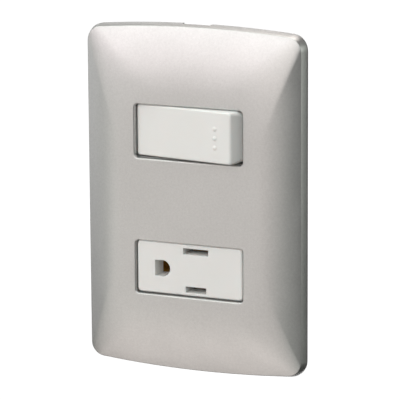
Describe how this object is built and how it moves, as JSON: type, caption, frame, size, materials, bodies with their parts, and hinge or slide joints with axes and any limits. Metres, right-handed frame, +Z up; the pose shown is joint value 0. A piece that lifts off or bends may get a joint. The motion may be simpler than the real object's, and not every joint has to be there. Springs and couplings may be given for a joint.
{
  "type": "wall switch and socket combination",
  "caption": "Wall device with a horizontal rocker switch over a grounded two-blade socket turned on its side, in a satin silver plate with a blank middle, on a mounting frame.",
  "frame": {"origin": "middle of the box screw pattern, on the wall's surface", "axes": "+X to the viewer's right, +Z up, the front faces -Y and the modules reach into the wall along +Y"},
  "size_m": [0.0764, 0.033, 0.115],
  "materials": {
    "silver_plate": "satin silver paint on moulded plastic",
    "white_moulding": "satin white moulding",
    "frame_plastic": "matt dark grey moulding",
    "housing_plastic": "matt light grey moulding",
    "plunger_plastic": "smooth black moulding",
    "spring_steel": "bright drawn wire",
    "brass_strip": "stamped strip",
    "contact_silver": "polished silver alloy",
    "zinc_steel": "zinc plated",
    "brass_screw": "machined",
    "green_screw": "green dyed plating"
  },
  "bodies": {
    "device": {"wall_plate": "silver_plate", "mounting_frame": "frame_plastic", "switch_collar": "white_moulding", "switch_base": "housing_plastic", "fixed_contact": "contact_silver", "common_terminal": "brass_strip", "switched_terminal": "brass_strip", "switch_clamp_plates": "zinc_steel", "switch_terminal_screws": "zinc_steel", "socket_face": "white_moulding", "socket_base": "housing_plastic", "neutral_contact": "brass_strip", "line_contact": "brass_strip", "ground_contact": "brass_strip", "socket_clamp_plates": "zinc_steel", "neutral_screw": "zinc_steel", "line_screw": "brass_screw", "ground_screw": "green_screw"},
    "rocker_body": {"rocker": "white_moulding", "plunger_spring": "spring_steel"},
    "plunger_body": {"plunger": "plunger_plastic"},
    "lever_body": {"contact_lever": "brass_strip", "moving_contact": "contact_silver"}
  },
  "joints": [
    {"name": "rocker_hinge", "type": "hinge", "parent": "device", "child": "rocker_body", "pos_m": [0, -0.0015, 0.0225], "axis": [0, 0, 1], "range_deg": [0, 17]},
    {"name": "lever_hinge", "type": "hinge", "parent": "device", "child": "lever_body", "pos_m": [0, 0.01, 0.0225], "axis": [0, 0, 1], "range_deg": [-24, 0]},
    {"name": "plunger_slide", "type": "slide", "parent": "rocker_body", "child": "plunger_body", "axis": [-0.1478, -0.989, 0], "range_m": [0, 0.0005], "stiffness_N_per_m": 400, "springref_m": -0.002, "deforming": ["plunger_spring"]}
  ],
  "couplings": [
    {"joint": "lever_hinge", "follows": "rocker_hinge", "ratio": -1.4118}
  ]
}
